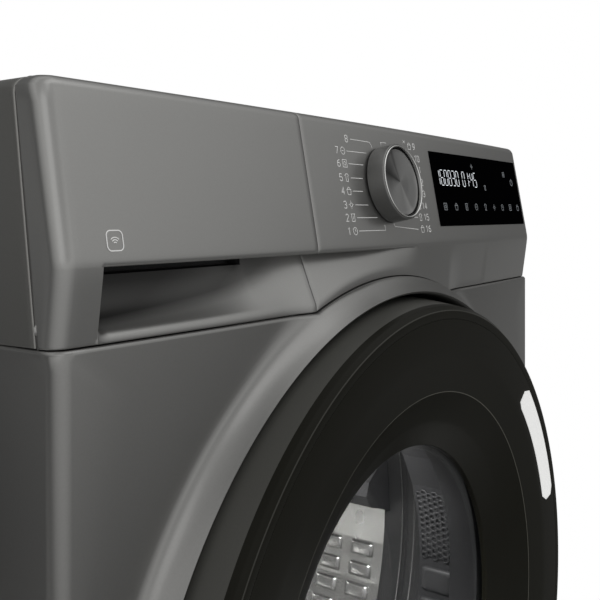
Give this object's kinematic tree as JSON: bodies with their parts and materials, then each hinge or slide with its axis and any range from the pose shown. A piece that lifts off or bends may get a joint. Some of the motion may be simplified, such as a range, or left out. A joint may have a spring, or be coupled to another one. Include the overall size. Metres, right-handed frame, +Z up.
{
  "type": "clothes dryer",
  "caption": "Front-loading heat-pump clothes dryer with a large round glazed door on the right-hand hinge, water drawer, programme knob and display.",
  "frame": {"origin": "on the floor under the middle of the machine's width and depth", "axes": "+X to the right when looking at the door, -Y out of the front, +Z up"},
  "size_m": [0.596, 0.5864, 0.85],
  "materials": {
    "steel_paint": "satin graphite metallic paint",
    "fascia_paint": "satin graphite metallic paint, a shade lighter",
    "side_paint": "satin graphite metallic paint, a shade darker",
    "bronze_black": "satin bronze-black",
    "gloss_black": "gloss black",
    "glass": "clear tempered glass",
    "bright_metal": "bright",
    "stainless": "bright annealed stainless",
    "zinc_sheet": "galvanised sheet",
    "black_plastic": "matte black",
    "grey_plastic": "matte mid grey",
    "white_plastic": "off-white",
    "rubber": "matte black",
    "felt": "felt",
    "board_green": "green circuit board",
    "aluminium": "bare",
    "label_white": "white film"
  },
  "bodies": {
    "cabinet": {"base_tray": "black_plastic", "left_side_panel": "side_paint", "right_side_panel": "side_paint", "rear_panel": "zinc_sheet", "front_panel": "steel_paint", "top_cover": "side_paint", "control_fascia": "fascia_paint", "display_window": "gloss_black", "control_board": "board_green", "knob_encoder": "black_plastic", "front_bulkhead": "grey_plastic", "drum_front_felt": "felt", "rear_bulkhead": "zinc_sheet", "rear_bearing": "bright_metal", "fan_housing": "grey_plastic", "motor": "aluminium", "drive_belt": "rubber", "compressor": "black_plastic", "evaporator": "aluminium", "condenser": "aluminium", "heat_pump_duct": "grey_plastic", "condensate_pump": "black_plastic", "drain_hose": "rubber", "mains_inlet": "black_plastic", "lint_filter": "white_plastic", "door_latch": "black_plastic", "door_hinge_bracket": "zinc_sheet", "door_hinge_pin": "bright_metal", "drawer_housing": "grey_plastic", "kick_panel": "black_plastic"},
    "door": {"door_outer_ring": "bronze_black", "door_front_annulus": "bronze_black", "door_glass": "glass", "door_inner_frame": "black_plastic", "door_seal": "rubber", "door_hinge_arm": "zinc_sheet", "door_latch_hook": "zinc_sheet", "door_label": "label_white"},
    "water_drawer": {"water_drawer_front": "fascia_paint", "water_tank": "white_plastic", "tank_cap": "grey_plastic"},
    "programme_knob": {"programme_knob": "fascia_paint", "knob_trim_ring": "bright_metal"},
    "drum": {"drum_shell": "stainless", "drum_rear_wall": "stainless", "drum_lifter_a": "grey_plastic", "drum_lifter_b": "grey_plastic", "drum_lifter_c": "grey_plastic", "drum_shaft": "zinc_sheet"},
    "drive_shaft": {"motor_shaft": "bright_metal", "fan_impeller": "black_plastic"},
    "idler_arm": {"idler_arm": "zinc_sheet"},
    "idler_wheel": {"idler_pulley": "black_plastic"},
    "roller_left": {"support_roller_left": "rubber"},
    "roller_right": {"support_roller_right": "rubber"},
    "service_flap": {"service_flap": "black_plastic"},
    "foot_front_left": {"foot_front_left": "rubber"},
    "foot_front_right": {"foot_front_right": "rubber"},
    "foot_rear_left": {"foot_rear_left": "rubber"},
    "foot_rear_right": {"foot_rear_right": "rubber"}
  },
  "joints": [
    {"name": "door_hinge", "type": "hinge", "parent": "cabinet", "child": "door", "pos_m": [0.25, -0.279, 0.4563], "axis": [0, 0, 1], "range_deg": [0, 112]},
    {"name": "drawer_slide", "type": "slide", "parent": "cabinet", "child": "water_drawer", "axis": [0, -1, 0], "range_m": [0, 0.3]},
    {"name": "knob_turn", "type": "hinge", "parent": "cabinet", "child": "programme_knob", "pos_m": [0.003, -0.24811, 0.80391], "axis": [0, -0.983, 0.1838], "continuous": true},
    {"name": "drum_spin", "type": "hinge", "parent": "cabinet", "child": "drum", "pos_m": [0, 0, 0.4563], "axis": [0, -1, 0], "continuous": true},
    {"name": "drive_shaft_spin", "type": "hinge", "parent": "cabinet", "child": "drive_shaft", "pos_m": [0.1, 0, 0.1], "axis": [0, -1, 0], "continuous": true},
    {"name": "idler_swing", "type": "hinge", "parent": "cabinet", "child": "idler_arm", "pos_m": [0.15, -0.021, 0.055], "axis": [0, 1, 0], "range_deg": [0, 10]},
    {"name": "idler_wheel_spin", "type": "hinge", "parent": "idler_arm", "child": "idler_wheel", "pos_m": [0.14697, -0.031, 0.12099], "axis": [0, -1, 0], "continuous": true},
    {"name": "roller_left_spin", "type": "hinge", "parent": "cabinet", "child": "roller_left", "pos_m": [-0.19322, -0.165, 0.22603], "axis": [0, -1, 0], "continuous": true},
    {"name": "roller_right_spin", "type": "hinge", "parent": "cabinet", "child": "roller_right", "pos_m": [0.19322, -0.165, 0.22603], "axis": [0, -1, 0], "continuous": true},
    {"name": "service_flap_hinge", "type": "hinge", "parent": "cabinet", "child": "service_flap", "pos_m": [-0.195, -0.2447, 0.03], "axis": [1, 0, 0], "range_deg": [0, 90]},
    {"name": "foot_front_left_height", "type": "slide", "parent": "cabinet", "child": "foot_front_left", "axis": [0, 0, -1], "range_m": [0, 0.01]},
    {"name": "foot_front_right_height", "type": "slide", "parent": "cabinet", "child": "foot_front_right", "axis": [0, 0, -1], "range_m": [0, 0.01]},
    {"name": "foot_rear_left_height", "type": "slide", "parent": "cabinet", "child": "foot_rear_left", "axis": [0, 0, -1], "range_m": [0, 0.01]},
    {"name": "foot_rear_right_height", "type": "slide", "parent": "cabinet", "child": "foot_rear_right", "axis": [0, 0, -1], "range_m": [0, 0.01]}
  ],
  "couplings": [
    {"joint": "drive_shaft_spin", "follows": "drum_spin", "ratio": 19.72},
    {"joint": "idler_wheel_spin", "follows": "drum_spin", "ratio": -20.214},
    {"joint": "roller_left_spin", "follows": "drum_spin", "ratio": -14},
    {"joint": "roller_right_spin", "follows": "drum_spin", "ratio": -14}
  ]
}
